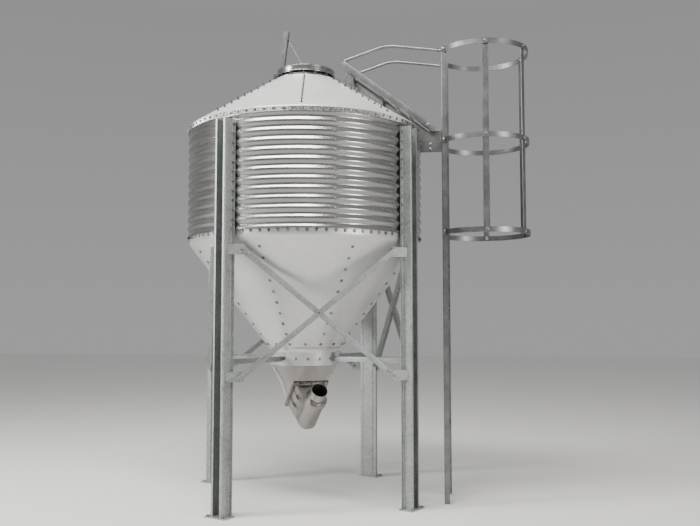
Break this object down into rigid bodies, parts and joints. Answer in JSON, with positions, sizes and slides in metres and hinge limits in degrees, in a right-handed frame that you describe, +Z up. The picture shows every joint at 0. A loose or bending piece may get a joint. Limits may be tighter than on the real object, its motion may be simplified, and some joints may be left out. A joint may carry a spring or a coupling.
{
  "type": "grain silo",
  "caption": "Small galvanised hopper-bottom grain silo on four braced legs, with cone roof, hinged lid, caged ladder, clear boot and slide-gate outlet.",
  "frame": {"origin": "centre of the footprint box on the ground", "axes": "+Z up, +X from the silo axis towards the ladder, +Y across the ladder"},
  "size_m": [2.7055, 1.911, 3.6723],
  "materials": {
    "galvanised_sheet": "bright galvanised sheet",
    "light_sheet": "pale galvanised sheet",
    "hot_dip_steel": "mottled hot-dip galvanised",
    "stainless": "brushed stainless",
    "clear_plastic": "clear, slightly smoky"
  },
  "bodies": {
    "root": {"wall_sheet_1": "galvanised_sheet", "wall_sheet_2": "galvanised_sheet", "wall_sheet_3": "galvanised_sheet", "wall_sheet_4": "galvanised_sheet", "hopper_panel_1": "light_sheet", "hopper_panel_2": "light_sheet", "hopper_panel_3": "light_sheet", "hopper_panel_4": "light_sheet", "roof_panel_1": "light_sheet", "roof_panel_2": "light_sheet", "roof_panel_3": "light_sheet", "roof_panel_4": "light_sheet", "lower_collar": "light_sheet", "inlet_neck": "galvanised_sheet", "leg_1": "hot_dip_steel", "leg_2": "hot_dip_steel", "leg_3": "hot_dip_steel", "leg_4": "hot_dip_steel", "cross_brace_1a": "hot_dip_steel", "cross_brace_1b": "hot_dip_steel", "cross_brace_2a": "hot_dip_steel", "cross_brace_2b": "hot_dip_steel", "cross_brace_3a": "hot_dip_steel", "cross_brace_3b": "hot_dip_steel", "cross_brace_4a": "hot_dip_steel", "cross_brace_4b": "hot_dip_steel", "level_strut_1": "hot_dip_steel", "level_strut_2": "hot_dip_steel", "level_strut_3": "hot_dip_steel", "level_strut_4": "hot_dip_steel", "ladder": "galvanised_sheet", "eave_bracket_left": "galvanised_sheet", "eave_bracket_right": "galvanised_sheet", "roof_ladder": "galvanised_sheet", "handrail_left": "galvanised_sheet", "handrail_right": "galvanised_sheet", "cage_hoop_1": "galvanised_sheet", "cage_hoop_2": "galvanised_sheet", "cage_hoop_3": "galvanised_sheet", "cage_bar_1": "galvanised_sheet", "cage_bar_2": "galvanised_sheet", "cage_bar_3": "galvanised_sheet", "cage_bar_4": "galvanised_sheet", "clear_boot": "clear_plastic", "boot_frame": "stainless", "discharge_box": "stainless", "outlet_spigot": "stainless", "end_cap": "stainless"},
    "roof_lid": {"lid": "light_sheet", "lid_lever": "galvanised_sheet"},
    "gate": {"slide_gate": "stainless"},
    "door": {"clean_out_door": "stainless", "latch_1": "stainless", "latch_2": "stainless"}
  },
  "joints": [
    {"name": "lid_hinge", "type": "hinge", "parent": "root", "child": "roof_lid", "pos_m": [-0.63471, 0, 3.2943], "axis": [0, -1, 0], "range_deg": [0, 95]},
    {"name": "gate_slide", "type": "slide", "parent": "root", "child": "gate", "axis": [0.383, -0.6634, 0.6428], "range_m": [0, 0.24]},
    {"name": "door_hinge", "type": "hinge", "parent": "root", "child": "door", "pos_m": [-0.38309, -0.16622, 0.65896], "axis": [0.383, -0.6634, 0.6428], "range_deg": [0, 100]}
  ]
}
